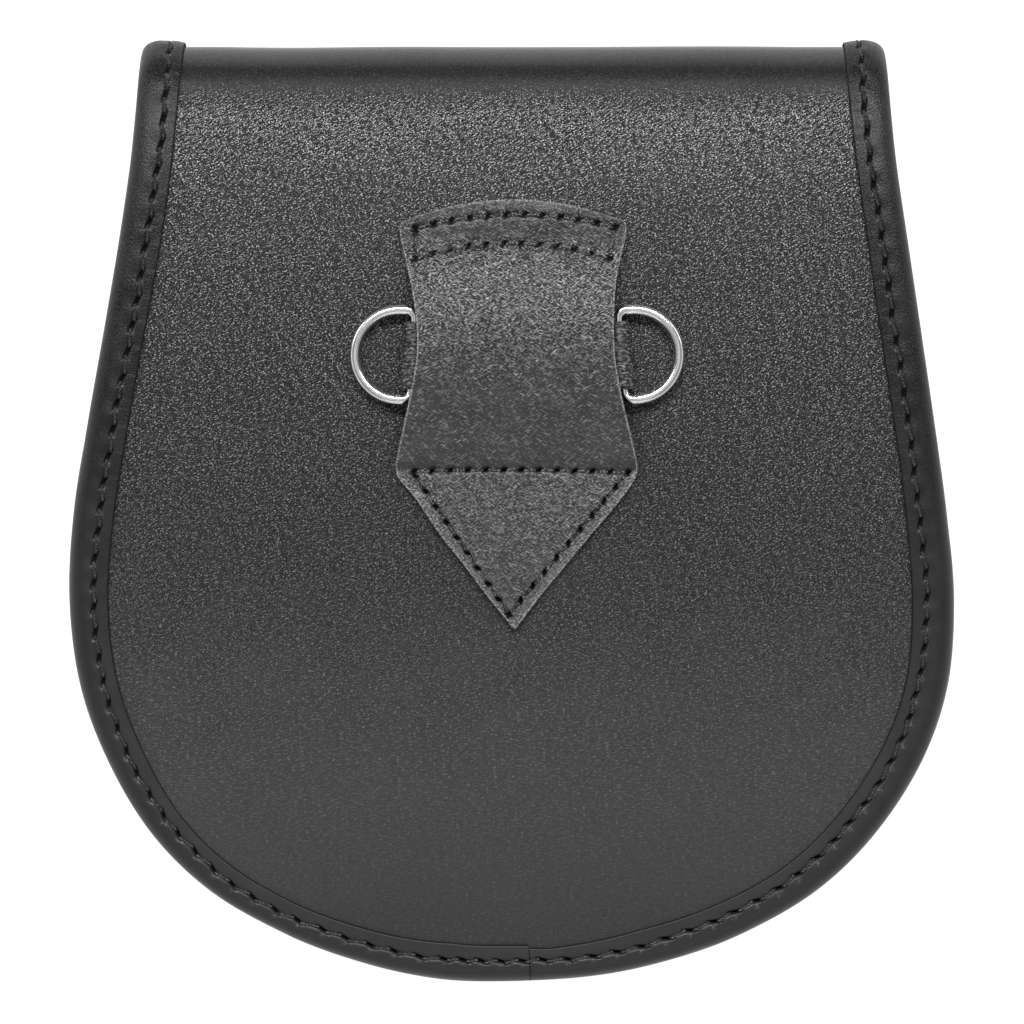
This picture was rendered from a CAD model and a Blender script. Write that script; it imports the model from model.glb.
import math

import bpy
import numpy as np
from mathutils import Matrix, Vector


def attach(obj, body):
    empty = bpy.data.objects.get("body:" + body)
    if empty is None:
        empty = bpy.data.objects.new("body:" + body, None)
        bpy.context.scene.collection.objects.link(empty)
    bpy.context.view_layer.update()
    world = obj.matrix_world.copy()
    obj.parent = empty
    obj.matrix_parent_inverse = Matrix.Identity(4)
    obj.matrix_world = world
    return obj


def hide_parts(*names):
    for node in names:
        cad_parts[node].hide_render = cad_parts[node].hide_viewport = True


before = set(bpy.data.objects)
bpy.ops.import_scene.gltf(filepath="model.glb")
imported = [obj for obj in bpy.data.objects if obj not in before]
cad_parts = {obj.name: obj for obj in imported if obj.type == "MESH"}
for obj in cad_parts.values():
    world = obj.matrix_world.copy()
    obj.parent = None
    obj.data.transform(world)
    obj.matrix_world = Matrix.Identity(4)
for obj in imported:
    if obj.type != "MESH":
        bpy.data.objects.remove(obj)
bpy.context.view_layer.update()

MM = 0.001  # sizes below are in millimetres, in the frame's axes
SEED = 11

# The leather and the clearance between pieces that touch, as in the part's source
GAP = 0.3
PANEL_THICK = 3.0
BINDING_THICK = 1.2
GUSSET_THICK = 1.6
FRONT_THICK = 2.2
PATCH_THICK = 1.8
STRAP_THICK = 1.3

# The panel's sections from the foot of the back, over the rolled top, to the tip of the flap
SECTIONS = (
    # up, depth, left, right, fall
    (-109.4, 36.6, 5.0, -5.0, 0.0),
    (-108.1, 36.7, 21.8, 19.4, 0.1),
    (-104.6, 37.1, 36.4, 36.2, 0.3),
    (-98.8, 37.8, 51.8, 52.4, 0.6),
    (-88.6, 39.0, 69.5, 70.0, 1.0),
    (-75.4, 40.0, 82.9, 83.5, 1.5),
    (-58.2, 40.7, 93.2, 94.5, 1.9),
    (-41.1, 41.1, 99.4, 100.3, 2.0),
    (-21.1, 41.3, 101.9, 101.8, 2.0),
    (-1.0, 41.3, 100.9, 100.1, 2.0),
    (19.0, 41.1, 97.8, 97.4, 1.9),
    (41.1, 40.6, 94.0, 94.2, 1.7),
    (61.2, 39.6, 90.7, 91.3, 1.4),
    (79.4, 37.7, 88.2, 88.8, 1.0),
    (93.1, 34.2, 87.0, 87.6, 0.6),
    (102.9, 28.4, 86.6, 87.2, 0.2),
    (107.9, 19.8, 86.5, 87.1, 0.0),
    (105.2, 10.8, 86.6, 87.2, 0.0),
    (97.6, 4.8, 86.9, 87.4, 0.0),
    (86.0, 2.0, 87.8, 88.1, 0.0),
    (73.0, 1.5, 89.2, 89.4, 0.0),
    (55.0, 1.5, 91.4, 91.6, 0.0),
    (37.0, 1.5, 92.8, 92.9, 0.0),
    (19.0, 1.5, 91.0, 91.0, 0.0),
    (3.0, 1.5, 84.4, 84.4, 0.0),
    (-11.0, 1.5, 72.2, 72.2, 0.0),
    (-23.0, 1.5, 54.3, 54.3, 0.0),
    (-31.0, 1.5, 33.4, 33.4, 0.0),
    (-34.6, 1.5, 14.0, 14.0, 0.0),
    (-35.2, 1.5, 0.0, 0.0, 0.0),
)
FALL_POWER = 2.5
FLAP_DEPTH = SECTIONS[-1][1]
STEPS = 64  # samples from one section to the next
SQUARE_END = 0.45 * STEPS
SLOPE_REACH = 0.8
EDGE_SLOPE_REACH = 3  # samples each way for the direction of the bound edge
PANEL_INSET = 2.4
PANEL_GRID = (380, 124)  # rows along the leather and columns across it
PANEL_DENTS = (0.16, 34.0)  # how deep, and how far from one to the next
SHEET_STEP = (1.6, 1.6, 0.0)  # a sheet's second face takes its grain from this far off

# The pouch under the panel
MOUTH_UP = 77.0
FRONT_DEPTH = 6.4
FRONT_INSET = 4.0
FRONT_RISE = 1.6
FRONT_CURL = 6
FOOT_CURL_FROM = -60.0
FOOT_CURL_REACH = 48.0
FRONT_FOOT = 0.6 * STEPS
FRONT_ROWS = 150
FRONT_COLUMNS = (190.0, (0.0, 0.1, 0.25, 0.45, 0.7), 1.2, 130)  # as shares_across takes them
FRONT_SAG = (0.3, 46.0)
FRONT_SEAM = FRONT_INSET + 2.4
FRONT_PITCH = 5.0
SEAM_BELOW_MOUTH = 3.0
FLANGE_FADE = (6.0, 18.0)  # the gusset's flange under the binding ends over this stretch above the mouth
GUSSET_SECTION = (
    # share, inset, stand_off
    (0.0, 2.9, 1.1),
    (0.0, 6.6, 1.1),
    (0.0, 8.2, 1.7),
    (0.0, 9.0, 3.6),
    (0.35, 9.7, 3.6),
    (0.68, 10.3, 3.6),
    (1.0, 11.0, 3.4),
    (1.0, 10.3, 1.8),
    (1.0, 8.6, 1.2),
    (1.0, 5.2, 1.2),
)
GUSSET_GRID = (260, 40)
GUSSET_SMOOTHINGS = 4

# The patch on the back
PATCH_SECTIONS = (
    # up, left, right, arch
    (65.9, 24.0, 24.6, 4.7),
    (65.0, 25.6, 26.2, 4.7),
    (62.6, 25.8, 26.3, 4.5),
    (58.8, 25.0, 25.4, 4.1),
    (52.3, 23.5, 24.0, 3.0),
    (45.2, 22.2, 23.3, 1.9),
    (35.5, 21.7, 23.4, 0.7),
    (27.2, 22.9, 24.6, 0.0),
    (21.0, 24.2, 26.0, 0.0),
    (13.0, 26.0, 28.0, 0.0),
    (9.1, 26.7, 28.8, 0.0),
    (7.0, 26.2, 28.4, 0.0),
    (2.6, 22.6, 25.6, 0.0),
    (-6.2, 16.6, 18.2, 0.0),
    (-13.2, 11.1, 12.4, 0.0),
    (-20.0, 6.0, 6.8, 0.0),
    (-25.8, 1.3, 2.4, 0.0),
    (-27.8, -0.1, 0.9, 0.0),
)
PATCH_TOP_SEAM = 57.0
PATCH_CREST = 32.0
PATCH_FOOT_SEAM = 8.6
PATCH_RISE = 6.2
PATCH_FULLNESS = 3.0
PATCH_ROWS = 268
PATCH_COLUMNS = (50.0, (0.0, 0.12, 0.28, 0.5, 0.8, 1.2), 1.6, 122)
PATCH_SWELLS = (
    # how high, and how far from one to the next
    (0.07, 7.0),
    (0.05, 3.0),
)

# The strap and the D-rings
RINGS_UP = 34.7
WIRE_RADIUS = 1.0
WIRE_SHOWN = 1.2  # the wire's radius measured on the visible bow, within the strap's clearance
RING_HALF_HEIGHT = 10.3
RING_DEPTH = 13.4
RING_CORNER = 2.0
BOW_CLEARANCE = 0.45
BAR_CLEARANCE = 0.15
STRAP_WIDTH = 15.4
STRAP_TAPER = 8.0  # how far in from a bar the strap's upper layer has come down on the lower one
STRAP_ROUND = 0.35
LOOP_RADIUS = WIRE_RADIUS + BAR_CLEARANCE + STRAP_THICK
BAR_HEIGHT = GAP + LOOP_RADIUS
RINGS = (
    # name, body, place across the bag, lean of the bar in degrees, and the side that the bow points to
    ("d_ring_left", "left_ring", -22.6, -3.2, -1),
    ("d_ring_right", "right_ring", 24.9, 4.8, 1),
)

# The binding and its seam
BINDING_FITS = (
    # side, place up the back, width of its face, inset of its seam
    (-1, -109.0, 8.7, 5.4),
    (-1, -98.0, 7.9, 4.8),
    (-1, -60.0, 8.6, 5.4),
    (-1, -15.0, 9.5, 6.2),
    (-1, 60.0, 9.9, 6.8),
    (-1, 107.0, 10.0, 7.0),
    (1, 107.0, 9.6, 6.3),
    (1, 40.0, 9.6, 6.4),
    (1, -46.0, 10.1, 7.1),
    (1, -100.0, 9.2, 6.0),
    (1, -106.0, 8.7, 5.5),
    (1, -109.0, 7.2, 5.1),
)
FLAP_FIT = (9.6, 6.4)  # width and seam at the flap's tip
JOINT_ACROSS = 4.1  # the strip's cut end lies on its other end here, at the foot
LAP_RISE = 0.55  # how far the upper end stands above the lower one
LAP_WIDER = 0.5  # how much wider it is
LAP_REACH = 16.0  # how far along it settles down
LAP_STEP = 0.03
FOOT_WIDER = 0.7  # how much wider both ends are than the strip beyond them
FOOT_SPREAD = 32.0
STATIONS = 1900  # places round the edge
WIDTH_STRAY = (0.1, 61.0)  # how far the strip's width strays, and over what length
BINDING_BACK = 6.4
BINDING_FACE_IN = 6.0  # the strip's cut edge goes down to its inner face here
NOSE_REACH = 3.2
NOSE_ROUND = 4.4  # the nose's reach if its round went all the way to the crest
NOSE_ANGLES = (0, 9, 18, 27, 36, 46, 56, 66, 74)  # degrees
BACK_ANGLES = (84, 66, 48, 30, 14)
SKIVE_DEPTH = 0.55  # the strip is pared down by this from its seam to its inner edge
SEAM_PITCH = 6.05
SHORT_PITCH = 4.7  # the stitches on the lap are shorter
SHORT_STITCHES = 5
FIRST_HOLE = 1.6  # from the strip's cut end
HOLE_STRAY = 0.16
SEAM_STRAY = (
    # how far, waves round the edge, phase
    (0.12, 23, 1.0),
    (0.08, 57, 2.0),
)
SLIT_LENGTH = 3.1
SLIT_WIDTH = 0.8
SLIT_SLANT = 0.36  # rise of a slit across the seam for each millimetre along it
GROOVE_DEPTH = 0.35
GROOVE_WIDTH = 0.42
PIT_DEPTH = 1.0
LIP_RISE = 0.14
LIP_BELOW = 0.7  # how far below the middle of a level slit its worn lip lies
LIP_SIZE = 0.5
DIMPLE_DEPTH = 0.1  # the leather outside the seam dips at each hole and swells between them
DIMPLE_OUT = 1.3
DIMPLE_SIZE = 0.8

# The seams of the patch
PATCH_SEAMS = (
    # name, from x, from y, to x, to y, how far its middle bulges up the bag, count of holes
    ("box_top", -22.1, 63.7, 23.6, 64.0, 3.1, 12),
    ("box_foot", -22.1, 56.7, 22.2, 56.8, 3.5, 12),
    ("box_left", -22.1, 63.7, -22.1, 56.7, 0.0, 2),
    ("box_right", 23.6, 64.0, 22.2, 56.8, 0.0, 2),
    ("point_top", -22.3, 8.3, 26.5, 7.9, 0.5, 13),
    ("point_left", -22.2, 7.2, -0.7, -24.5, 0.0, 10),
    ("point_right", 26.5, 7.9, -0.7, -24.5, 0.0, 11),
)
SUNK_SEAMS = ("box_left", "point_left", "point_right")
SUNK_GROOVE = (0.3, 1.9)  # width and depth
PATCH_GROOVE = (0.55, 0.8)
PUNCH_SIZE = (0.82, 0.52)  # half of a punched hole, along its seam and across
PUNCH_SLANT = 0.35

THREAD_SIDES = 6
THREADS = {
    # piece: plies, radius of one, its distance from the middle, lay
    "border_stitches": (2, 0.23, 0.18, 1.5),
    "border_stitches_inside": (2, 0.27, 0.22, 1.9),
    "patch_stitches": (3, 0.22, 0.25, 1.5),
    "front_stitches": (2, 0.24, 0.20, 1.6),
}

rng = np.random.default_rng(SEED)


# ---- the leather's surfaces


def added_up(steps):
    """Distances from the first point of a line, for the steps from each of its points to the next."""
    return np.concatenate([[0.0], np.cumsum(steps)])


def bell(distance, width):
    """1 where the distance is 0, and next to nothing from about two widths on."""
    return np.exp(-((distance / width) ** 2))


def ease(share):
    """From 0 to 1 with a level start and end."""
    return share * share * (3 - 2 * share)


def smooth_rows(rows, steps, measure):
    """A smooth curve through all rows but the first and last, steps samples from each to the next."""
    rows = np.array(rows, float)
    at = added_up(np.sqrt(np.linalg.norm(np.diff(rows[:, :measure], axis=0), axis=1)))
    slope = np.gradient(rows, at, axis=0)
    s = (np.arange(steps) / steps)[:, None]
    parts = []
    for i in range(1, len(rows) - 2):
        span = at[i + 1] - at[i]
        parts.append(
            (1 + 2 * s) * (1 - s) ** 2 * rows[i]
            + s * (1 - s) ** 2 * span * slope[i]
            + ease(s) * rows[i + 1]
            + s * s * (s - 1) * span * slope[i + 1]
        )
    return np.concatenate([*parts, rows[-2:-1]])


def other_side(row):
    """The section that the outline meets once it has turned round its end."""
    up, depth, left, right, fall = row
    return (up, depth, -right, -left, fall)


PANEL = smooth_rows([other_side(SECTIONS[1]), *SECTIONS, other_side(SECTIONS[-2])], STEPS, 4)
PANEL[:, 1] = np.maximum(PANEL[:, 1], FLAP_DEPTH)
UP, DEPTH, LEFT, RIGHT, FALL = PANEL.T
ALONG = added_up(np.hypot(np.diff(UP), np.diff(DEPTH)))
LAST = len(PANEL) - 1
SAMPLES = np.arange(LAST + 1)
TOP = int(np.argmax(UP))


def unit(vectors):
    return vectors / np.maximum(np.linalg.norm(vectors, axis=-1, keepdims=True), 1e-12)


def profile(along):
    """The middle of the panel's outer face from the side: up the bag, and off the surface."""
    return np.stack([np.interp(along, ALONG, UP), np.interp(along, ALONG, DEPTH)], -1)


def face(across, along):
    """Points of the panel's outer face at places on the flat leather."""
    across, along = np.broadcast_arrays(across, along)
    run = unit(profile(along + SLOPE_REACH) - profile(along - SLOPE_REACH))
    half = (np.interp(along, ALONG, LEFT) + np.interp(along, ALONG, RIGHT)) / 2
    sideways = np.minimum(np.abs(across) / np.maximum(half, 1.0), 1.0)
    drop = np.interp(along, ALONG, FALL) * sideways**FALL_POWER
    up, depth = np.moveaxis(profile(along), -1, 0)
    return np.stack([across, up + drop * run[..., 1], depth - drop * run[..., 0]], -1)


def face_normal(across, along):
    across, along = np.broadcast_arrays(across, along)
    sideways = face(across + SLOPE_REACH, along) - face(across - SLOPE_REACH, along)
    ahead = face(across, np.minimum(along + SLOPE_REACH, ALONG[-1]))
    behind = face(across, np.maximum(along - SLOPE_REACH, 0.0))
    return unit(np.cross(sideways, ahead - behind))


def on_panel(across, along, stand_off):
    """Points this far off the panel's outer face, negative inside the leather."""
    return face(across, along) + np.asarray(stand_off)[..., None] * face_normal(across, along)


def along_at_up(up):
    return np.interp(up, UP[:TOP], ALONG[:TOP])


def on_back(across, up, stand_off):
    """Points this far off the back at places across and up the bag."""
    return on_panel(across, along_at_up(up), stand_off)


def on_front(across, up, inside):
    """Points this far inside the front panel's outer face."""
    half = np.maximum(np.interp(up, UP[:TOP], LEFT[:TOP]), 1.0)
    sideways = np.minimum(np.abs(across) / half, 1.0)
    low = np.maximum(0.0, (FOOT_CURL_FROM - up) / FOOT_CURL_REACH)
    rise = FRONT_RISE * (sideways**FRONT_CURL + low**2)
    return np.stack([across, up, FRONT_DEPTH + rise + inside], -1)


class Edge:
    """The bound edge as one closed line: up the left side, round the flap, and down the right side."""

    def __init__(self):
        left = np.stack([-LEFT, ALONG], -1)
        right = np.stack([RIGHT, ALONG], -1)[::-1]
        self.line = np.concatenate([left, right[1:-1]])
        self.sample = np.concatenate([SAMPLES, SAMPLES[-2:0:-1]])
        before, after = (np.roll(self.line, step, 0) for step in (EDGE_SLOPE_REACH, -EDGE_SLOPE_REACH))
        run = unit(after - before)
        self.inward = np.stack([run[:, 1], -run[:, 0]], -1)
        step = np.linalg.norm(np.roll(self.line, -1, 0) - self.line, axis=1)
        self.at = added_up(step[:-1])
        self.length = step.sum()

    def read(self, values, u):
        return np.interp(np.mod(u, self.length), self.at, values, period=self.length)

    def point(self, u, inset):
        """Across and along the flat leather, this far in from the edge."""
        x = self.read(self.line[:, 0], u) + inset * self.read(self.inward[:, 0], u)
        v = self.read(self.line[:, 1], u) + inset * self.read(self.inward[:, 1], u)
        return x, v

    def u_at(self, side, sample):
        """Distance round the edge to a sample of one side."""
        if side < 0:
            return float(self.at[int(sample)])
        return float(self.at[-int(sample)]) if sample > 0 else self.length


EDGE = Edge()


def sample_at_up(up):
    return float(np.interp(up, UP[:TOP], SAMPLES[:TOP]))


def outline_at(sample, side, place):
    reach = np.interp(sample, SAMPLES, LEFT if side < 0 else RIGHT)
    return np.stack([side * reach, np.interp(sample, SAMPLES, place)], -1)


def inset_outline(sample, side, inset, place=ALONG):
    """The bound edge at these samples of one side, moved in from the edge."""
    reach = SLOPE_REACH * STEPS / 16
    before = outline_at(np.maximum(sample - reach, 0.0), side, place)
    after = outline_at(np.minimum(sample + reach, LAST), side, place)
    run = unit(after - before)
    inward = side * np.stack([-run[..., 1], run[..., 0]], -1)
    return outline_at(sample, side, place) + np.asarray(inset)[..., None] * inward


def both_sides(sample, inset, place=ALONG):
    """The left and the right line at this inset from the edge."""
    return [inset_outline(sample, side, inset, place) for side in (-1, 1)]


def between(left, right, share):
    """Places across and along, at these shares of the way from a left line to a right one."""
    return np.moveaxis(left[:, None] + share[:, None] * (right - left)[:, None], -1, 0)


# ---- meshes


def grid_quads(rows, columns, wrap_rows=False, wrap_columns=False):
    """Quads between the neighbours of a grid of points."""
    r = np.arange(rows if wrap_rows else rows - 1)
    c = np.arange(columns if wrap_columns else columns - 1)
    r0, c0 = np.meshgrid(r, c, indexing="ij")
    r1, c1 = (r0 + 1) % rows, (c0 + 1) % columns
    quads = np.stack([r0 * columns + c0, r1 * columns + c0, r1 * columns + c1, r0 * columns + c1], -1)
    return quads.reshape(-1, 4)


def signed_volume(points, quads):
    a, b, c, d = (points[quads[:, k]] for k in range(4))
    return float((np.cross(a, b) * c).sum() + (np.cross(a, c) * d).sum())


def solid(name, points, quads, finish, body, replaces=(), slot=None, sharp=40.0, fields=None, flat=None):
    """A piece of closed mesh, in millimetres, with its faces outward.

    fields are numbers kept at its points, and flat their places on the leather before it was bent.
    """
    points = np.asarray(points, float).reshape(-1, 3)
    if signed_volume(points, quads) < 0:  # the faces point inward
        quads = quads[:, ::-1]
    mesh = bpy.data.meshes.new(name)
    mesh.from_pydata((points * MM).tolist(), [], quads.tolist())
    for field, values in (fields or {}).items():
        layer = mesh.attributes.new(field, "FLOAT", "POINT")
        layer.data.foreach_set("value", np.asarray(values, np.float32).ravel())
    if flat is not None:
        layer = mesh.attributes.new("flat", "FLOAT_VECTOR", "POINT")
        layer.data.foreach_set("vector", np.asarray(flat, np.float32).ravel())
    mesh.shade_smooth()
    mesh.set_sharp_from_angle(angle=math.radians(sharp))
    mesh.materials.append(finish)
    obj = bpy.data.objects.new(name, mesh)
    bpy.context.scene.collection.objects.link(obj)
    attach(obj, body)
    if replaces:
        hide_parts(*replaces)


def shell(top, foot):
    """Points and quads of a sheet with two faces, whose grids are top and foot, closed round its rim."""
    rows, columns = top.shape[:2]
    points = np.concatenate([top.reshape(-1, 3), foot.reshape(-1, 3)])
    over = grid_quads(rows, columns)
    under = over[:, ::-1] + rows * columns
    index = np.arange(rows * columns).reshape(rows, columns)
    rim = np.concatenate([index[0, :-1], index[:-1, -1], index[-1, :0:-1], index[:0:-1, 0]])
    after = np.roll(rim, -1)
    side = np.stack([rim, after, after + rows * columns, rim + rows * columns], -1)
    return points, np.concatenate([over, under, side])


def flat_places(x, y, faces=1):
    """The places on the flat leather of a grid's points, once for each face of a sheet.

    The second face is moved over, so that the grain on the cut edge between the two isn't drawn out.
    """
    x, y = np.broadcast_arrays(x, y)
    places = np.stack([x, y, 0 * x], -1).reshape(-1, 3)
    return np.concatenate([places + face * np.array(SHEET_STEP) for face in range(faces)])


def waves(x, y, size, count=14):
    """A smooth random height from -1 to 1 over a plane, with bumps about this size."""
    turn = rng.uniform(0, 2 * math.pi, count)
    wave = 2 * math.pi / (size * rng.uniform(0.7, 1.6, count))
    phase = rng.uniform(0, 2 * math.pi, count)
    total = sum(
        np.sin(wave[i] * (x * math.cos(turn[i]) + y * math.sin(turn[i])) + phase[i])
        for i in range(count)
    )
    return total / math.sqrt(2 * count)


def shares_across(width, rim, even_from, count):
    """Places from 0 to 1 across a sheet, at these distances from its cut edges and evenly between."""
    near = np.array(rim) / width
    even = np.linspace(even_from / width, 1 - even_from / width, count)
    return np.concatenate([near, even, 1 - near[::-1]])


def rounded(distance, radius):
    """How far a face drops near a cut edge that is rounded over."""
    near = np.clip(1 - distance / radius, 0.0, 1.0)
    return radius * (1 - np.sqrt(1 - near**2))


def twisted(paths, ups, plies, ply_radius, coil_radius, lay):
    """Threads of twisted plies along many paths at once: paths and ups are (count, points, 3)."""
    run = unit(np.gradient(paths, axis=1))
    side = unit(np.cross(run, ups))
    up = np.cross(side, run)
    step = np.linalg.norm(np.diff(paths, axis=1), axis=2)
    length = np.concatenate([np.zeros((len(paths), 1)), np.cumsum(step, 1)], 1)
    start = rng.uniform(0, 1, (len(paths), 1))
    around = np.linspace(0, 2 * math.pi, THREAD_SIDES, endpoint=False)[:, None]
    ring = np.cos(around) * up[:, :, None] + np.sin(around) * side[:, :, None]
    size = paths.shape[1] * THREAD_SIDES
    cap = np.array([[0, 1, 2, 3], [0, 3, 4, 5]])  # an end of six sides, as two quads
    walls = grid_quads(paths.shape[1], THREAD_SIDES, wrap_columns=True)
    one = np.concatenate([walls, cap[:, ::-1], cap + size - THREAD_SIDES])
    tubes = []
    for ply in range(plies):
        turn = 2 * math.pi * (length / lay + start + ply / plies)
        middle = paths + coil_radius * (np.cos(turn)[..., None] * up + np.sin(turn)[..., None] * side)
        tubes.append((middle[:, :, None] + ply_radius * ring).reshape(-1, 3))
    first = size * np.arange(plies * len(paths))
    return np.concatenate(tubes), (one + first[:, None, None]).reshape(-1, 4)


def sew(name, paths, ups, finish):
    """One seam's stitches, as a piece."""
    solid(name, *twisted(paths, ups, *THREADS[name]), finish, "pouch")


def dive(t, depth, level=0.7):
    """How far a stitch has sunk, from a hole at 0 to one at 1. It lies level over this much of its way."""
    return depth * np.clip((np.abs(2 * t - 1) - level) / (1 - level), 0, 1) ** 2


# ---- materials


class Value:
    """A node's output. Sums and products of values add the nodes for them."""

    def __init__(self, nodes, socket):
        self.nodes = nodes
        self.socket = socket

    def __add__(self, other):
        return self.nodes.math("ADD", self, other)

    def __sub__(self, other):
        return self.nodes.math("SUBTRACT", self, other)

    def __mul__(self, other):
        return self.nodes.math("MULTIPLY", self, other)

    def __pow__(self, other):
        return self.nodes.math("POWER", self, other)

    def axis(self, name):
        return self.nodes.put("ShaderNodeSeparateXYZ", {0: self}, out=name)

    def span(self, low, high, to_low=0.0, to_high=1.0, smooth=True):
        """to_low where this is low, to_high where it is high, and a slope between."""
        kind = "SMOOTHSTEP" if smooth else "LINEAR"
        inputs = {0: self, 1: low, 2: high, 3: to_low, 4: to_high}
        return self.nodes.put("ShaderNodeMapRange", inputs, interpolation_type=kind)


class Nodes:
    """Short ways to add nodes to a material or to the world."""

    def __init__(self, tree):
        self.tree = tree

    def put(self, kind, inputs, out=0, **settings):
        made = self.tree.nodes.new(kind)
        for key, value in settings.items():
            setattr(made, key, value)
        for socket, value in inputs.items():
            if isinstance(value, Value):
                self.tree.links.new(value.socket, made.inputs[socket])
            else:
                made.inputs[socket].default_value = value
        return Value(self, made.outputs[out])

    def math(self, operation, a, b):
        return self.put("ShaderNodeMath", {0: a, 1: b}, operation=operation)

    def most(self, a, b):
        return self.math("MAXIMUM", a, b)

    def vector(self, operation, a, b):
        slot = "Scale" if operation == "SCALE" else 1
        return self.put("ShaderNodeVectorMath", {0: a, slot: b}, operation=operation)

    def mix(self, factor, a, b):
        return self.put("ShaderNodeMix", {0: factor, 6: a, 7: b}, out=2, data_type="RGBA")


class Finish(Nodes):
    """A material. Its sizes are in millimetres."""

    def __init__(self, name, **sockets):
        self.made = bpy.data.materials.new(name)
        self.made.use_nodes = True
        super().__init__(self.made.node_tree)
        self.shader = self.tree.nodes["Principled BSDF"]
        for socket, value in sockets.items():
            self.shader.inputs[socket.replace("_", " ")].default_value = value

    def place(self, stretch=(1.0, 1.0, 1.0)):
        """Places on the object, in the frame's axes."""
        raw = self.put("ShaderNodeTexCoord", {}, out="Object")
        return self.vector("MULTIPLY", raw, tuple(value / MM for value in stretch))

    def flat(self, turn=0.0, longer=1.0):
        """Places on the flat leather, drawn out this many degrees from across."""
        raw = self.put("ShaderNodeAttribute", {}, out="Vector", attribute_name="flat")
        inputs = {"Vector": raw, "Scale": (longer, 1 / longer, 1.0)}
        inputs["Rotation"] = (0.0, 0.0, math.radians(turn))
        return self.put("ShaderNodeMapping", inputs, vector_type="TEXTURE")

    def noise(self, place, size, detail=3.0, rough=0.55, out=0, dims="3D"):
        inputs = {"Vector": place, "Scale": 1 / size, "Detail": detail, "Roughness": rough}
        return self.put("ShaderNodeTexNoise", inputs, out, noise_dimensions=dims)

    def specks(self, place, size, detail, rough=0.55):
        """Noise on the flat leather."""
        return self.noise(place, size, detail, rough, dims="2D")

    def warp(self, place, size, amount):
        """The place, pushed about by noise of this size by up to about this amount."""
        colour = self.noise(place, size, 0.0, out=1)
        centred = self.vector("SUBTRACT", colour, (0.5, 0.5, 0.5))
        return self.vector("ADD", place, self.vector("SCALE", centred, 2 * amount))

    def field(self, name):
        """The numbers kept at the mesh's points under this name."""
        return self.put("ShaderNodeAttribute", {}, out="Fac", attribute_name=name)

    def link(self, value, socket):
        self.tree.links.new(value.socket, self.shader.inputs[socket])

    def colour(self, value):
        self.link(value, "Base Color")

    def rough(self, value):
        self.link(value, "Roughness")

    def bump(self, height, strength, depth):
        inputs = {"Height": height, "Strength": strength, "Distance": depth * MM}
        self.link(self.put("ShaderNodeBump", inputs), "Normal")


def grey(value):
    return (value, value, value, 1.0)


def panel_finish():
    """Black leather: pebbles of fine pale grain with dark valleys, thick above and worn flat below."""
    f = Finish("panel_grain", Specular_IOR_Level=0.4)
    high = f.place().axis("Y")
    flat = f.warp(f.flat(24.0, 1.3), 2.6, 0.3)
    blotch = f.specks(flat, 11.0, 2.0, 0.6)
    worn = high + blotch * 30.0
    roll = high.span(93.0, 102.0)
    below_roll = roll.span(0.0, 1.0, 1.0, 0.12, smooth=False)
    strength = worn.span(-55.0, 95.0, 0.04, 1.0) * below_roll
    pitted = worn.span(-95.0, 15.0, 0.04, 1.0) * below_roll
    grain = f.specks(flat, 0.33, 1.0, 0.5)
    swell = f.specks(f.warp(f.flat(32.0, 1.9), 2.6, 0.4), 0.8, 0.0)
    raised = grain.span(0.45, 0.74) ** 2.0 * swell.span(0.40, 0.58, 0.15, 1.0)
    crests = raised * strength * high.span(75.0, 90.0, 1.0, 0.65)
    pits = f.most(grain.span(0.55, 0.43), swell.span(0.46, 0.34, 0.0, 0.8)) * pitted
    grained = f.mix(blotch.span(0.3, 0.7), grey(0.003), grey(0.007))
    worn_flat = f.mix(high.span(-100.0, -60.0), grey(0.033), grey(0.042))
    base = f.mix(worn.span(-60.0, 60.0), worn_flat, f.mix(roll, grained, grey(0.010)))
    scuffed = high.span(-95.0, -35.0, 0.25, 1.0) * high.span(90.0, 78.0, 0.1, 1.0)
    dashes = f.specks(f.flat(4.0, 1.9), 0.55, 0.0).span(0.66, 0.74) * scuffed
    f.colour(f.mix(crests, f.mix(pits, f.mix(dashes, base, grey(0.10)), grey(0.001)), grey(0.36)))
    f.rough(blotch.span(0.3, 0.7, 0.205, 0.23) + pits * 0.7)
    f.bump(grain + swell * 1.1, strength, 0.045)
    return f.made


def binding_finish():
    """Thin folded leather: a fine grain, strongest near the roll, and slits with pale lower lips."""
    f = Finish("binding_grain", Specular_IOR_Level=0.27)
    high = f.place().axis("Y")
    flat = f.flat(15.0, 1.3)
    strength = high.span(-70.0, 80.0, 0.12, 0.9)
    grain = f.specks(flat, 0.42, 1.0, 0.5)
    blotch = f.specks(flat, 7.0, 2.0, 0.6)
    upper = f.mix(blotch.span(0.3, 0.7), grey(0.003), grey(0.006))
    base = f.mix(high.span(-85.0, 55.0), grey(0.024), upper)
    crests = grain.span(0.50, 0.68) * (strength * 0.6)
    grained = f.mix(crests, base, grey(0.026))
    worn = f.mix(f.field("wear") * grain.span(0.46, 0.60), grained, grey(0.13))
    holes = f.field("hole")
    f.colour(f.mix(holes, worn, grey(0.001)))
    f.rough(f.most(blotch.span(0.3, 0.7, 0.34, 0.44), holes))
    f.bump(grain, strength, 0.12)
    return f.made


def strokes(f, turn, length, width):
    """Short straight creases that all run one way, as a height: its peaks are the creases."""
    return f.specks(f.warp(f.flat(turn, length / width), 2.6, 0.9), width, 0.0)


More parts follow.
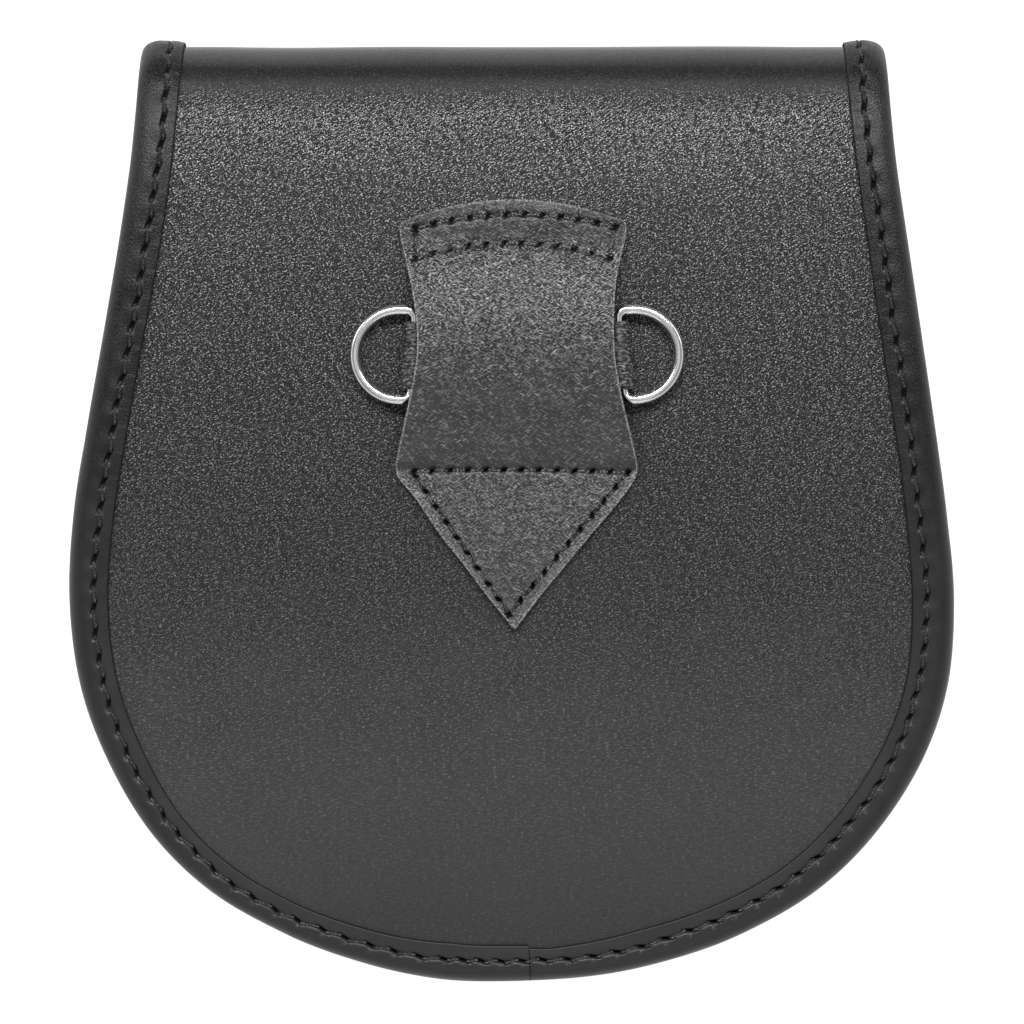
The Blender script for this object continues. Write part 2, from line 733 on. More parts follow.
def patch_finish():
    """Smooth grey leather under a net of short pale creases, thick above and sparse below."""
    f = Finish("patch_grain", Specular_IOR_Level=0.3)
    high = f.place().axis("Y")
    flat = f.warp(f.flat(-6.0, 1.3), 1.8, 0.5)
    grain = f.specks(flat, 0.42, 1.0, 0.5)
    swell = f.specks(flat, 1.05, 0.0)
    blotch = f.specks(flat, 6.0, 2.0, 0.6)
    point = high.span(9.0, 7.0) * high.span(-24.0, 7.0, 0.2, 0.6)
    upper = f.most(high.span(20.0, 50.0) * high.span(63.0, 57.0, 0.33, 0.95), point)
    dense = upper + f.specks(flat, 3.0, 1.0).span(0.3, 0.7, -0.2, 0.2)
    crossing = f.most(strokes(f, 33.0, 1.7, 0.44), strokes(f, -30.0, 2.0, 0.44))
    creases = (crossing - dense.span(-0.2, 1.2, 0.78, 0.69, smooth=False)).span(0.0, 0.06)
    flecks = grain.span(0.595, 0.67) * (upper * swell.span(0.36, 0.58, 0.45, 1.0))
    pits = f.most(grain.span(0.57, 0.47), swell.span(0.44, 0.30, 0.0, 0.5)) * f.most(upper, 0.3)
    shade = high.span(6.0, 45.0, 0.8, 0.0) + blotch.span(0.35, 0.65, 0.0, 0.2)
    base = f.mix(shade * high.span(7.0, 9.0, 0.65, 1.0), grey(0.005), grey(0.058))
    raised = f.mix(f.most(creases, flecks), f.mix(pits, base, grey(0.001)), grey(0.34))
    worn = f.mix(f.field("wear") * grain.span(0.44, 0.56, 0.15, 1.0), raised, grey(0.42))
    holes = f.field("hole")
    f.colour(f.mix(holes, f.mix(f.field("cut"), worn, grey(0.02)), grey(0.001)))
    f.rough(f.most(pits.span(0.0, 0.8, 0.34, 0.62), holes))
    f.bump((grain + swell) * f.most(upper, 0.12) + creases * 0.4, 1.0, 0.11)
    return f.made


def strap_finish():
    """Thin leather with creases across its length, where it was pulled round the bars."""
    f = Finish("strap_grain", Specular_IOR_Level=0.4)
    folds = f.noise(f.place((0.4, 2.2, 0.4)), 1.5, 2.0, 0.6)
    fibres = f.noise(f.place((0.5, 1.0, 0.5)), 0.5, 1.0, 0.6)
    f.colour(f.mix(fibres.span(0.46, 0.64), grey(0.008), grey(0.12)))
    f.rough(folds.span(0.3, 0.7, 0.35, 0.5))
    f.bump(folds + fibres, 0.8, 0.2)
    return f.made


def inner_finish():
    """The dull black leather of the gusset, with pebbles that a finer noise breaks up."""
    f = Finish("inner_leather", Specular_IOR_Level=0.4)
    place = f.place()
    blotch = f.noise(place, 5.0, 3.0, 0.6)
    away = f.put("ShaderNodeTexVoronoi", {"Vector": f.warp(place, 1.44, 0.45), "Scale": 1 / 0.9})
    f.colour(f.mix(blotch.span(0.3, 0.7), grey(0.018), grey(0.03)))
    f.rough(blotch.span(0.3, 0.7, 0.5, 0.7))
    f.bump(away * away * -0.5 + f.noise(place, 0.45, 1.0, 0.6), 0.6, 0.2)
    return f.made


def thread_finish(name, pale):
    """Dark twisted thread, its fibres flecked with light as far as it is worn."""
    f = Finish(name, Specular_IOR_Level=0.5, Sheen_Weight=0.15, Sheen_Roughness=0.5)
    fibre = f.noise(f.place(), 0.36, 1.0, 0.6)
    f.colour(f.mix(fibre.span(0.52, 0.62), grey(0.002), grey(pale)))
    f.rough(fibre.span(0.3, 0.7, 0.36, 0.6))
    f.bump(fibre, 0.6, 0.08)
    return f.made


def nickel_finish():
    """Bright plated wire with fine scratches and a few duller smears."""
    f = Finish("polished_nickel", Metallic=1.0)
    smear = f.noise(f.place(), 3.0, 4.0, 0.6)
    scratch = f.noise(f.place((1.0, 9.0, 9.0)), 1.2, 2.0)
    f.colour(f.mix(smear.span(0.3, 0.7), grey(0.74), grey(0.86)))
    f.rough(scratch.span(0.3, 0.7, 0.16, 0.26))
    f.bump(scratch, 0.12, 0.03)
    return f.made


# ---- the panel


def make_panel(finish):
    """The back, the rolled top and the flap: one leather panel that is hardly ever quite flat."""
    rows, columns = PANEL_GRID
    share = np.linspace(0, 1, columns)
    x, v = between(*both_sides(np.linspace(SQUARE_END, LAST - SQUARE_END, rows), PANEL_INSET), share)
    calm = np.clip(np.minimum(share, 1 - share) * 12 - 0.6, 0, 1)
    depth, size = PANEL_DENTS
    dents = depth * calm * waves(x, v, size)
    points, quads = shell(on_panel(x, v, dents), on_panel(x, v, dents - PANEL_THICK))
    solid(
        "leather_panel_skin", points, quads, finish, "pouch", ["leather_panel"], "black_leather",
        flat=flat_places(x, v, faces=2),
    )


# ---- the binding and its seam


def edge_stack():
    """How thick the leather inside the binding is, round the edge."""
    flange = np.interp(UP - MOUTH_UP, FLANGE_FADE, (1.0, 0.0))
    flange[TOP:] = 0.0
    return PANEL_THICK + flange[EDGE.sample] * (GAP + GUSSET_THICK)


EDGE_STACK = edge_stack()


def fits_along():
    """The binding's fits by their place along the edge."""
    rows = [(EDGE.u_at(side, sample_at_up(up)), width, seam) for side, up, width, seam in BINDING_FITS]
    return np.array(sorted([*rows, (EDGE.length / 2, *FLAP_FIT)]))


FITS = fits_along()
FOOT = slice(-200, None)  # the edge's last samples, where it comes back to the middle of the foot
JOINT_U = float(np.interp(-JOINT_ACROSS, -EDGE.line[FOOT, 0], EDGE.at[FOOT]))


def past_joint(u):
    """Distance along the strip from its upper cut end."""
    return np.mod(u - JOINT_U, EDGE.length)


def fit_at(u, column):
    return np.interp(np.mod(u, EDGE.length), FITS[:, 0], FITS[:, column], period=EDGE.length)


def strip_width(u):
    along = past_joint(u)
    from_joint = np.minimum(along, EDGE.length - along)
    return fit_at(u, 1) + FOOT_WIDER * bell(from_joint, FOOT_SPREAD)


def seam_inset(u):
    return fit_at(u, 2)


def seam_holes():
    """Places of the border seam's holes along the edge, measured on from the strip's cut end."""
    reach = EDGE.length - SHORT_STITCHES * SHORT_PITCH
    count = round(reach / SEAM_PITCH)
    steps = np.concatenate([np.full(SHORT_STITCHES, SHORT_PITCH), np.full(count, reach / count)])
    stray = rng.normal(0, HOLE_STRAY, len(steps))
    return JOINT_U + FIRST_HOLE + np.cumsum(steps) - steps[0] + stray


HOLES = seam_holes()


def to_hole(u):
    """Signed distance along the edge to the nearest hole of the border seam."""
    from_joint = past_joint(u)
    holes = np.sort(past_joint(HOLES))
    wrapped = np.concatenate([[holes[-1] - EDGE.length], holes, [holes[0] + EDGE.length]])
    nearest = np.searchsorted((wrapped[1:] + wrapped[:-1]) / 2, from_joint)
    return from_joint - wrapped[nearest]


def slit_depth(along, across):
    """1 inside a slanted slit at the origin, falling to 0 at its rim."""
    skew = across - SLIT_SLANT * along
    distance = np.hypot(along / (SLIT_LENGTH / 2), skew / (SLIT_WIDTH / 2))
    return np.clip(1.5 - distance, 0.0, 1.0) ** 1.2


def strip_lap(u):
    """How far the strip is lifted, where its upper end lies on the lower one."""
    return LAP_RISE * ease(np.clip(1 - past_joint(u) / LAP_REACH, 0, 1))


def face_height(u, w, top, middle):
    """The strip's outer face over the panel at this inset, and how far it is in a slit or on a worn lip."""
    nose = np.clip(1 - w / NOSE_ROUND, 0, 1)
    base = middle + (top - middle) * np.sqrt(1 - nose**2)
    along = to_hole(u)
    seam = seam_line_inset(u)
    across = w - seam
    pared = np.clip(across / np.maximum(strip_width(u) - seam, 0.5), 0, 1)
    groove = GROOVE_DEPTH * bell(across, GROOVE_WIDTH)
    slit = slit_depth(along, across)
    swell = DIMPLE_DEPTH * np.cos(2 * math.pi * along / SEAM_PITCH)
    dimple = swell * bell(across + DIMPLE_OUT, DIMPLE_SIZE)
    lip = lower_lip(u, along, across)
    height = base - SKIVE_DEPTH * pared**1.5 - groove - PIT_DEPTH * slit - dimple + LIP_RISE * lip
    return height, slit, lip


def lower_lip(u, along, across):
    """1 on the puckered leather just below a slit, which stands up and is worn pale."""
    inward_x = EDGE.read(EDGE.inward[:, 0], u)
    inward_v = EDGE.read(EDGE.inward[:, 1], u)
    x = -along * inward_v + across * inward_x
    v = along * inward_x + across * inward_v
    below = LIP_BELOW + 0.4 * SLIT_LENGTH * np.abs(inward_x)
    return np.exp(-(((v + below) / LIP_SIZE) ** 2) - (x / LIP_SIZE) ** 2)


def binding_stations():
    """Places round the edge, with the last one just short of the first, so that the lap ends in a step."""
    even = JOINT_U + np.linspace(0, EDGE.length, STATIONS, endpoint=False)
    return np.concatenate([even, [JOINT_U + EDGE.length - LAP_STEP]])


def seam_line_inset(u):
    """The seam's inset as sewn: a hand-made seam strays a little from its line."""
    turn = 2 * math.pi * (u - JOINT_U) / EDGE.length
    return seam_inset(u) + sum(far * np.sin(count * turn + phase) for far, count, phase in SEAM_STRAY)


def level(u, values):
    """The same insets or heights at every place round the edge."""
    return np.array(values)[None] + 0 * u


def around_nose(reach, angles, u):
    """Insets on a rounded nose, which starts at the edge and goes this far in over a right angle."""
    return reach * (1 - np.cos(np.radians(angles)))[None] + 0 * u


def make_binding(finish):
    """The folded strip round the whole edge, with its groove, its slits and its overlapped end."""
    u = binding_stations()[:, None]
    stray = WIDTH_STRAY[0] * np.sin(2 * math.pi * u / WIDTH_STRAY[1])
    width = strip_width(u) + stray + LAP_WIDER * strip_lap(u) / LAP_RISE
    under = -EDGE.read(EDGE_STACK, u) - GAP
    bottom = under - BINDING_THICK
    top = GAP + BINDING_THICK + strip_lap(u)
    middle = (GAP + under) / 2
    inner = PANEL_INSET - GAP
    nose = around_nose(NOSE_ROUND, NOSE_ANGLES, u)
    near = seam_line_inset(u) + np.arange(-1.3, 1.31, 0.2)[None]
    ahead = nose[:, -1:] + (near[:, :1] - nose[:, -1:]) * np.array([0.33, 0.66])
    beyond = near[:, -1:] + (width - 0.5 - near[:, -1:]) * np.array([0.25, 0.5, 0.75, 1.0])
    face_w = np.concatenate([nose, ahead, near, beyond], 1)
    face_h, holes, wear = face_height(u, face_w, top, middle)
    holes = np.maximum(holes, 0.9 * (past_joint(u) > EDGE.length - 0.5))
    rim_w = width + np.array([-0.22, -0.05, 0.0, 0.0])
    rim_h = np.concatenate([face_h[:, -1:] + np.array([-0.04, -0.16, -0.34]), level(u, [-0.1])], 1)
    back_w = around_nose(NOSE_REACH, BACK_ANGLES, u)
    back_h = middle + (bottom - middle) * np.sin(np.radians(BACK_ANGLES))[None]
    parts = (
        # insets, heights, how dark as part of a hole, how worn
        (face_w, face_h, holes, wear),
        (rim_w, rim_h, level(u, [0.2, 0.8, 1.0, 1.0]), 0 * rim_w),
        (level(u, [BINDING_FACE_IN, inner, inner]), np.concatenate([0 * u + 0.1, 0 * u + 0.1, under], 1)),
        (
            level(u, [BINDING_BACK, BINDING_BACK, BINDING_BACK - 0.25, 5.2, NOSE_REACH]),
            np.concatenate([under, bottom + 0.35, bottom, bottom, bottom], 1),
        ),
        (back_w, back_h),
    )
    whole = [part if len(part) == 4 else (*part, 0 * part[0], 0 * part[0]) for part in parts]
    w, h, holes, wear = (np.concatenate(part, 1) for part in zip(*whole))
    points = on_panel(*EDGE.point(u + 0 * w, w), h)
    quads = grid_quads(*w.shape, wrap_rows=True, wrap_columns=True)
    step = np.linalg.norm(np.diff(points, axis=1, prepend=points[:, :1]), axis=2)
    solid(
        "edge_binding_strip", points, quads, finish, "pouch", ["edge_binding"], "binding_leather",
        fields={"hole": holes, "wear": wear}, flat=flat_places(u, np.cumsum(step, axis=1)),
    )


def along_border(count, short):
    """Shares of the way from each slit to the next, and the places there, this short of both slits."""
    start, end = HOLES, np.roll(HOLES, -1)
    end = np.where(end < start, end + EDGE.length, end)
    t = np.linspace(0, 1, count)[None]
    return t, (start + short)[:, None] * (1 - t) + (end - short)[:, None] * t


def make_border_stitches(finish):
    """The black thread in the binding's groove, outside and inside."""
    t, u = along_border(15, 0.85)
    x, v = EDGE.point(u, seam_line_inset(u) + 0.3 * (1 - 2 * t))
    height = GAP + BINDING_THICK + strip_lap(u) - GROOVE_DEPTH + 0.05
    sew("border_stitches", on_panel(x, v, height - dive(t, 1.3)), face_normal(x, v), finish)
    t, u = along_border(11, 0.3)
    x, v = EDGE.point(u, np.minimum(seam_inset(u) - 0.3, 5.6))
    height = -EDGE.read(EDGE_STACK, u) - GAP - BINDING_THICK - 0.2
    sew("border_stitches_inside", on_panel(x, v, height + dive(t, 0.9)), -face_normal(x, v), finish)


# ---- the patch


def patch_lift(up):
    """How far the patch's underside stands off the back."""
    above = (PATCH_TOP_SEAM - up) / (PATCH_TOP_SEAM - PATCH_CREST)
    below = (up - PATCH_FOOT_SEAM) / (PATCH_CREST - PATCH_FOOT_SEAM)
    share = np.clip(np.where(up >= PATCH_CREST, above, below), 0.0, 1.0)
    return GAP + PATCH_RISE * (1 - (1 - share) ** PATCH_FULLNESS)


def patch_rows():
    """The patch's sections, close together and evenly spaced."""
    first = tuple(np.array(PATCH_SECTIONS[0]) * 2 - np.array(PATCH_SECTIONS[1]))
    last = tuple(np.array(PATCH_SECTIONS[-1]) * 2 - np.array(PATCH_SECTIONS[-2]))
    rows = smooth_rows([first, *PATCH_SECTIONS, last], 24, 3)
    at = added_up(np.hypot(np.diff(rows[:, 0]), np.diff(rows[:, 1])))
    even = np.linspace(0, at[-1], PATCH_ROWS)
    return np.stack([np.interp(even, at, column) for column in rows.T], -1)


PATCH = patch_rows()


def patch_row_at(x, y):
    """The patch's row at a place across and up the bag, since the rows arch up in the middle."""
    up = np.array(y, float)
    for _ in range(6):
        left, right, arch = (np.interp(-up, -PATCH[:, 0], PATCH[:, k]) for k in (1, 2, 3))
        share = (x + left) / np.maximum(left + right, 1e-6)
        up = y - arch * (1 - (2 * share - 1) ** 2)
    return up


def seam_line(row, count):
    """Points of a patch seam: straight from end to end, or bulging up the bag."""
    x0, y0, x1, y1, bulge = row[1:-1]
    t = np.linspace(0, 1, count)
    x = x0 + (x1 - x0) * t
    y = y0 + (y1 - y0) * t + bulge * (1 - (2 * t - 1) ** 2)
    return np.stack([x, y], -1)


def patch_seam_fields(x, y):
    """The groove along the patch's seams, and their holes, at places on it."""
    groove = np.zeros_like(x)
    holes = np.zeros_like(x)
    for row in PATCH_SEAMS:
        line = seam_line(row, 60)
        sunk = row[0] in SUNK_SEAMS
        width, depth = SUNK_GROOVE if sunk else PATCH_GROOVE
        for a, b in zip(line[:-1], line[1:]):
            run = b - a
            t = np.clip(((x - a[0]) * run[0] + (y - a[1]) * run[1]) / (run @ run), 0, 1)
            distance = np.hypot(x - a[0] - t * run[0], y - a[1] - t * run[1])
            groove = np.maximum(groove, depth * bell(distance, width))
            if sunk:
                holes = np.maximum(holes, 0.8 * bell(distance, 0.26))
        places = seam_line(row, row[-1])
        for place, run in zip(places, unit(np.gradient(places, axis=0))):
            along = (x - place[0]) * run[0] + (y - place[1]) * run[1]
            across = -(x - place[0]) * run[1] + (y - place[1]) * run[0]
            distance = np.hypot(along / PUNCH_SIZE[0], (across - PUNCH_SLANT * along) / PUNCH_SIZE[1])
            holes = np.maximum(holes, np.clip((1.3 - distance) / 0.4, 0, 1))
    return groove, holes


def make_patch(finish):
    """The patch: a waisted sheet with cut edges, a worn margin, and seams that sink into it."""
    share = shares_across(*PATCH_COLUMNS)
    up, left, right, arch = (PATCH[:, k : k + 1] for k in range(4))
    x = -left + share * (left + right)
    y = up + arch * (1 - (2 * share - 1) ** 2)
    reach = np.gradient(PATCH[:, 1], PATCH[:, 0])[:, None]
    side = np.minimum(share, 1 - share) * (left + right) / np.sqrt(1 + reach**2)
    ends = np.minimum(up[0] - up, (up - up[-1]) * 0.7)
    rim = np.minimum(side, np.maximum(ends, 0.0))
    groove, holes = patch_seam_fields(x, y)
    relief = sum(high * waves(x, y, size) for high, size in PATCH_SWELLS)
    low = up < PATCH_FOOT_SEAM
    roll = np.where(low, 0.5, 0.25) * np.exp(-rim / 1.1)
    height = PATCH_THICK + relief - 0.28 * groove - 0.9 * holes - rounded(rim, 0.55) - roll
    lift = patch_lift(up) + 0 * x
    points, quads = shell(on_back(x, y, lift + np.maximum(height, 0.25)), on_back(x, y, lift))
    pale = 0.9 * bell(rim - 0.25, 0.16)
    fields = {
        # on the outer face, and on the inner one
        "hole": (holes, 0.0),
        "wear": (np.clip(np.where(low, 0.5, 0.0) * np.exp(-rim / 1.3) + pale, 0, 1), 0.0),
        "cut": (bell(rim, 0.12) * 0.5, 1.0),
    }
    fields = {name: np.concatenate([outer, 0 * x + inner]) for name, (outer, inner) in fields.items()}
    solid(
        "hanger_patch_leather", points, quads, finish, "pouch", ["hanger_patch"], "patch_leather",
        fields=fields, flat=flat_places(x, y, faces=2),
    )


def make_patch_stitches(finish):
    """The thread of the patch's seams, from each punched hole to the next."""
    t = np.linspace(0, 1, 15)
    stitches = []
    for row in PATCH_SEAMS:
        holes = seam_line(row, row[-1])
        level = PATCH_THICK - (0.7 if row[0] in SUNK_SEAMS else 0.16)
        for a, b in zip(holes[:-1], holes[1:]):
            run = unit(b - a)
            a, b = a + 0.8 * run, b - 0.8 * run
            x, y = a[:, None] + (b - a)[:, None] * t
            height = patch_lift(patch_row_at(x, y)) + level - dive(t, 1.0, 0.65)
            stitches.append((on_back(x, y, height), face_normal(x, along_at_up(y))))
    paths, ups = (np.array(part) for part in zip(*stitches))
    sew("patch_stitches", paths, ups, finish)


# ---- rings and strap


def hardware_plane():
    """The plane on the back where the strap lies: X across the bag, Y up it, and Z off the leather."""
    centre = Vector(on_back(0.0, RINGS_UP, 0.0)) * MM
    top = Vector(on_back(0.0, RINGS_UP + STRAP_WIDTH / 2, 0.0)) * MM
    up = (top - centre).normalized()
    across = Vector((1.0, 0.0, 0.0))
    off = across.cross(up).normalized()
    plane = Matrix((across, off.cross(across), off)).transposed().to_4x4()
    plane.translation = centre
    return plane


def bar_matrix(across, lean):
    """From a ring's own axes, with the bar along Y, to the plane of the strap."""
    place = Matrix.Translation(Vector((across, 0.0, BAR_HEIGHT)) * MM)
    return place @ Matrix.Rotation(math.radians(lean), 4, "Z")


def moved(points, matrix):
    """Points in millimetres, moved by a matrix in metres."""
    m = np.array(matrix)
    return points @ m[:3, :3].T + m[:3, 3] / MM


def ring_line(side):
    """The D's centre line, once round: up the bar, round a corner, the bow, and the other corner."""
    straight = RING_HALF_HEIGHT - RING_CORNER
    bow = RING_DEPTH - RING_HALF_HEIGHT
    bar = np.linspace(-straight, straight, 14)
    corner = np.linspace(0, math.pi / 2, 10)[1:]
    turns = np.linspace(math.pi / 2, -math.pi / 2, 72)
    corner_x = RING_CORNER * (1 - np.cos(corner))
    corner_y = straight + RING_CORNER * np.sin(corner)
    x = np.concatenate([0 * bar, corner_x, bow + RING_HALF_HEIGHT * np.cos(turns), corner_x[::-1]])
    y = np.concatenate([bar, corner_y, RING_HALF_HEIGHT * np.sin(turns), -corner_y[::-1]])
    return np.stack([side * x, y, 0 * x], -1)


def make_ring(name, body, across, lean, side, plane, finish):
    """A D of wire, which is a little thicker on the bow than on the bar inside the strap's loop."""
    line = ring_line(side)
    turn = math.asin((BAR_HEIGHT - WIRE_RADIUS - BOW_CLEARANCE) / RING_DEPTH)
    matrix = plane @ bar_matrix(across, lean) @ Matrix.Rotation(side * turn, 4, "Y")
    run = unit(np.roll(line, -1, 0) - np.roll(line, 1, 0))
    off = np.array([0.0, 0.0, 1.0])
    out = np.cross(run, off)
    sides = 28
    around = np.linspace(0, 2 * math.pi, sides, endpoint=False)
    ring = np.cos(around)[None, :, None] * out[:, None] + np.sin(around)[None, :, None] * off
    off_bar = np.clip(np.abs(line[:, 0]) / RING_CORNER, 0, 1)
    radius = WIRE_RADIUS + (WIRE_SHOWN - WIRE_RADIUS) * off_bar
    points = line[:, None] + radius[:, None, None] * ring
    quads = grid_quads(len(line), sides, wrap_rows=True, wrap_columns=True)
    points = moved(points.reshape(-1, 3), matrix)
    solid(name + "_wire", points, quads, finish, body, [name], "nickel", sharp=60.0)


def strap_line():
    """The middle of the strap's thickness from the side: round a bar, over, round the other, under."""
    left, right = RINGS[0][2], RINGS[1][2]
    radius = LOOP_RADIUS - STRAP_THICK / 2
    turns = np.radians(np.linspace(270, 90, 26))
    half = [(left + radius * math.cos(a), BAR_HEIGHT + radius * math.sin(a)) for a in turns]
    top = BAR_HEIGHT + radius
    low = GAP + STRAP_THICK * 1.55
    for share in np.linspace(0.06, 1, 14):
        half.append((left + share * STRAP_TAPER, top - ease(share) * (top - low)))
    half += [(x, low) for x in np.linspace(left + STRAP_TAPER, (left + right) / 2, 14)[1:-1]]
    other = [(left + right - x, z) for x, z in reversed(half)]
    under = [(x, GAP + STRAP_THICK / 2) for x in np.linspace(right, left, 40)[1:-1]]
    return np.array(half + other + under)


def strap_section():
    """The strap's section across: its two faces, with rounded edges between them."""
    half, thick = STRAP_WIDTH / 2, STRAP_THICK / 2
    widths = np.linspace(-half + STRAP_ROUND, half - STRAP_ROUND, 44)
    over = [(y, thick) for y in widths]
    edge = []
    for a in np.radians([65, 40, 15, -15, -40, -65]):
        middle = math.copysign(thick - STRAP_ROUND, a)
        edge.append((half - STRAP_ROUND + STRAP_ROUND * math.cos(a), middle + STRAP_ROUND * math.sin(a)))
    under = [(y, -thick) for y in widths[::-1]]
    return np.array(over + edge + under + [(-y, -h) for y, h in edge])


def make_strap(plane, finish):
    """The strap that holds a ring at each end: one closed band, rolled round both bars."""
    line = strap_line()
    run = unit(np.roll(line, -1, 0) - np.roll(line, 1, 0))
    section = strap_section()
    y = section[None, :, 0] + 0 * line[:, :1]
    ripple = 0.05 * waves(np.arange(len(line))[:, None] * 0.6 + 0 * y, y * 3.0, 5.0)
    h = section[None, :, 1] * (1 + ripple)
    x = line[:, :1] - h * run[:, 1:]
    z = line[:, 1:] + h * run[:, :1]
    bars = [ring[2] for ring in RINGS]
    leans = [math.tan(math.radians(ring[3])) for ring in RINGS]
    x = x - y * np.interp(x, bars, leans)
    points = moved(np.stack([x, y, z], -1).reshape(-1, 3), plane)
    quads = grid_quads(*y.shape, wrap_rows=True, wrap_columns=True)
    solid("ring_strap_band", points, quads, finish, "pouch", ["ring_strap"], "binding_leather")


# ---- the pouch


def make_front(finish):
    """The pouch's front: a sheet with cut edges that sags a little."""
    share = shares_across(*FRONT_COLUMNS)
    sample = np.linspace(FRONT_FOOT, sample_at_up(MOUTH_UP), FRONT_ROWS)
    left, right = both_sides(sample, FRONT_INSET, UP)
    x, y = between(left, right, share)
    side = np.minimum(share, 1 - share) * (right - left)[:, :1]
    ends = np.minimum(y - y[0], y[-1] - y)
    rim = np.minimum(side, np.maximum(ends, 0))
    depth, size = FRONT_SAG
    sag = depth * np.clip(rim / 14 - 0.4, 0, 1) * waves(x, y, size)
    top = on_front(x, y, rounded(rim, 0.6) + sag)
    foot = on_front(x, y, FRONT_THICK - rounded(rim, 0.5) + sag)
    points, quads = shell(top, foot)
    solid(
        "front_panel_leather", points, quads, finish, "pouch", ["front_panel"], "black_leather",
        flat=flat_places(x, y, faces=2),
    )


def make_front_stitches(finish):
    """The thread that sews the front panel to the gusset's turned edge, on the front's outer face."""
    sample = np.linspace(FRONT_FOOT, sample_at_up(MOUTH_UP - SEAM_BELOW_MOUTH), 500)
    left, right = both_sides(sample, FRONT_SEAM, UP)
    line = np.concatenate([left[::-1], right])
    length = added_up(np.linalg.norm(np.diff(line, axis=0), axis=1))
    count = int(length[-1] / FRONT_PITCH)
    start = np.linspace(0.0, length[-1] - FRONT_PITCH, count)[:, None]
    t = np.linspace(0, 1, 13)[None]
    place = start + 0.5 + t * (FRONT_PITCH - 1.0)
    x, y = (np.interp(place, length, line[:, k]) for k in range(2))
    outward = np.zeros(x.shape + (3,)) - np.array([0.0, 0.0, 1.0])
    sew("front_stitches", on_front(x, y, dive(t, 0.9) - 0.1), outward, finish)


def make_gusset(finish):
    """The strip between the back and the front, with a flange turned out along each."""
    section = np.array(GUSSET_SECTION)
    rows, columns = GUSSET_GRID
    fine = np.linspace(0, len(section) - 1, columns)
    section = np.stack([np.interp(fine, np.arange(len(section)), c) for c in section.T])
    for _ in range(GUSSET_SMOOTHINGS):
        section[:, 1:-1] = (section[:, :-2] + 2 * section[:, 1:-1] + section[:, 2:]) / 4
    share, inset, stand = section
    samples = np.linspace(sample_at_up(MOUTH_UP), 0, rows)
    points = []
    for side, run in ((-1, samples), (1, samples[-2::-1])):
        s = run[:, None] + 0 * inset
        i = inset + 0 * s
        under_back = np.moveaxis(inset_outline(s, side, i), -1, 0)
        in_front = np.moveaxis(inset_outline(s, side, i, UP), -1, 0)
        top = on_panel(*under_back, -PANEL_THICK - stand + 0 * s)
        foot = on_front(*in_front, FRONT_THICK + stand + 0 * s)
        points.append(top + share[:, None] * (foot - top))
    grid = np.concatenate(points)
    normal = unit(np.cross(np.gradient(grid, axis=0), np.gradient(grid, axis=1)))
    half = GUSSET_THICK / 2
    points, quads = shell(grid + half * normal, grid - half * normal)
    solid("gusset_strip", points, quads, finish, "pouch", ["gusset"], "black_leather")


# ---- stage


LENS = 153.1  # for a sensor 36 millimetres wide
CAMERA_PLACE = (0.0, -0.001, 1.039)  # metres, as for the lights and the floor
STUDIO_LIGHTS = (
    # name, x, y, z, width, depth, radiance
    ("key", 0.0, 0.86, 1.08, 1.70, 0.24, 24.0),
    ("upper_box", 0.0, 0.27, 1.30, 1.30, 0.36, 0.28),
    ("lower_box", 0.0, -0.32, 1.30, 1.30, 0.46, 0.28),
    ("left_box", -0.37, 0.0, 1.30, 0.56, 0.18, 0.45),
    ("right_box", 0.37, 0.0, 1.30, 0.56, 0.18, 0.45),
    ("front_box", 0.0, -0.95, 0.85, 1.30, 0.50, 0.8),
    ("left_rim", -1.10, 0.62, 0.26, 0.50, 0.44, 3.2),
    ("right_rim", 1.10, 0.62, 0.26, 0.50, 0.44, 2.2),
)
LIGHT_TARGET = (0.0, 0.0, 0.03)
ROOM_FADES = (
    # direction's part along this axis, from, to, brightness there and there
    ("Z", 0.05, 0.6, 1.0, 0.28),
    ("Y", 0.05, 0.5, 1.0, 0.1),
)
FLOOR_SIZE = 20.0
FLOOR_BELOW = 0.0006
FLOOR_FADE = (150.0, 330.0, 0.92, 0.25)  # Y in millimetres, from and to, and the floor's own shine there


def make_lights():
    """Soft boxes round the camera, and a strip beyond them whose reflection lies below the rolled top."""
    for name, x, y, z, width, depth, radiance in STUDIO_LIGHTS:
        light = bpy.data.lights.new(name, "AREA")
        light.shape = "RECTANGLE"
        light.size, light.size_y = width, depth
        light.energy = radiance * math.pi * width * depth
        box = bpy.data.objects.new(name, light)
        bpy.context.scene.collection.objects.link(box)
        box.location = (x, y, z)
        aim = Vector(LIGHT_TARGET) - box.location
        box.rotation_euler = aim.to_track_quat("-Z", "Y").to_euler()
        box.visible_camera = False


def make_camera():
    """A long lens straight above the bag."""
    data = bpy.data.cameras.new("camera")
    data.sensor_width = 36.0
    data.lens = LENS
    data.clip_start, data.clip_end = 0.01, 100.0
    camera = bpy.data.objects.new("camera", data)
    bpy.context.scene.collection.objects.link(camera)
    camera.location = CAMERA_PLACE
    bpy.context.scene.camera = camera


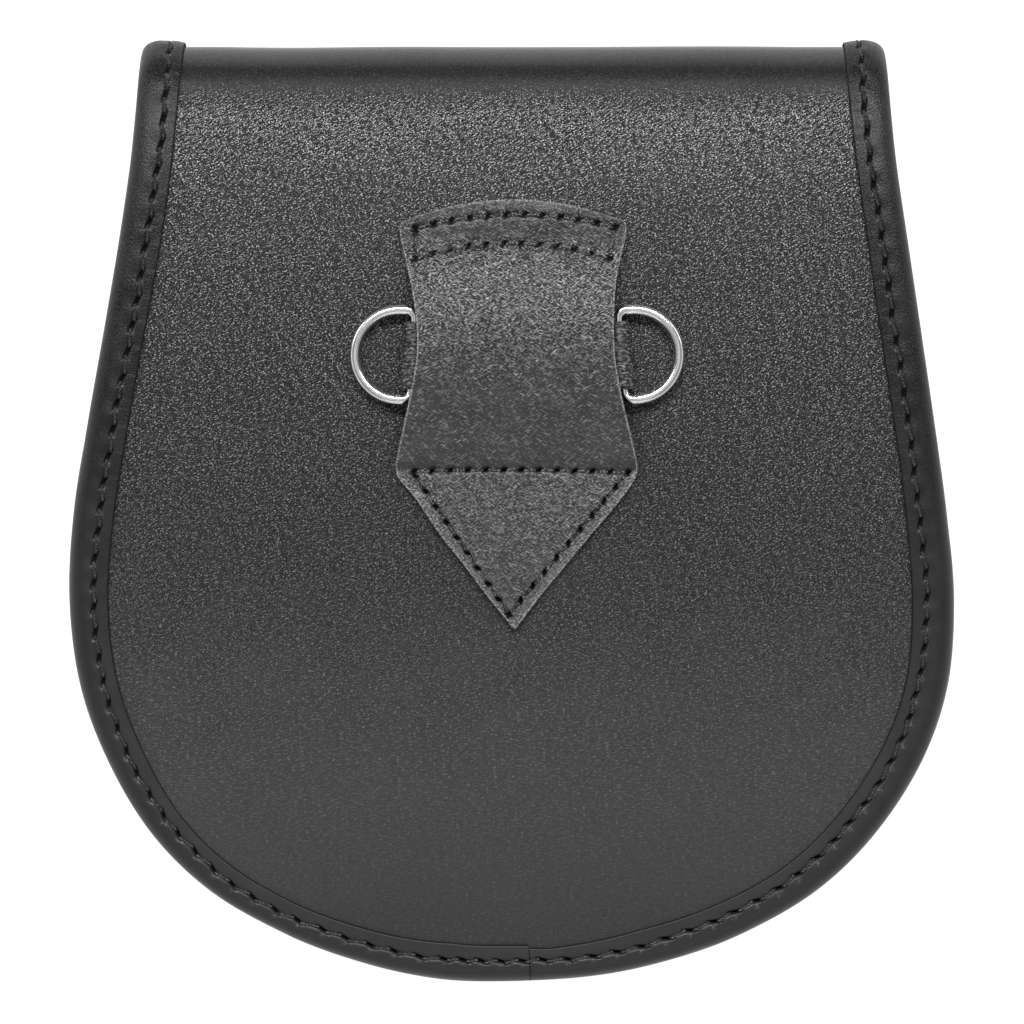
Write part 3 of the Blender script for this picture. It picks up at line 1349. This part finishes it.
def make_floor():
    """A plain pale floor that shines of itself, and less so far behind the bag."""
    mesh = bpy.data.meshes.new("floor")
    square = np.array([(-1, -1), (1, -1), (1, 1), (-1, 1)]) * FLOOR_SIZE
    mesh.from_pydata([(x, y, -FLOOR_BELOW) for x, y in square], [], [(0, 1, 2, 3)])
    f = Finish("floor", Roughness=0.9, Specular_IOR_Level=0.1)
    f.shader.inputs["Base Color"].default_value = grey(0.25)
    f.shader.inputs["Emission Color"].default_value = grey(1.0)
    f.link(f.place().axis("Y").span(*FLOOR_FADE), "Emission Strength")
    f.made.cycles.emission_sampling = "NONE"
    mesh.materials.append(f.made)
    floor = bpy.data.objects.new("floor", mesh)
    bpy.context.scene.collection.objects.link(floor)


def make_world():
    """A pale room with a dark screen behind the top of the bag, so the roll reads as a dark band."""
    world = bpy.data.worlds.new("studio")
    bpy.context.scene.world = world
    world.use_nodes = True
    nodes = Nodes(world.node_tree)
    direction = nodes.put("ShaderNodeTexCoord", {}, out="Generated")
    above, behind = (direction.axis(axis).span(*fade) for axis, *fade in ROOM_FADES)
    background = nodes.tree.nodes["Background"]
    background.inputs["Color"].default_value = grey(1.0)
    nodes.tree.links.new((above * behind).socket, background.inputs["Strength"])


def make_stage():
    make_floor()
    make_world()
    make_lights()
    bpy.context.scene.view_settings.view_transform = "Standard"


make_camera()
make_stage()
panel_grain = panel_finish()
binding_grain = binding_finish()
patch_grain = patch_finish()
inner_leather = inner_finish()
strap_grain = strap_finish()
border_thread = thread_finish("border_thread", 0.035)
patch_thread = thread_finish("patch_thread", 0.24)
nickel = nickel_finish()

make_panel(panel_grain)
make_binding(binding_grain)
make_border_stitches(border_thread)
make_patch(patch_grain)
make_patch_stitches(patch_thread)
plane = hardware_plane()
make_strap(plane, strap_grain)
for name, body, across, lean, side in RINGS:
    make_ring(name, body, across, lean, side, plane, nickel)
make_front(panel_grain)
make_front_stitches(border_thread)
make_gusset(inner_leather)
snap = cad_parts["snap_stud"]
snap.data.materials.clear()
snap.data.materials.append(nickel)
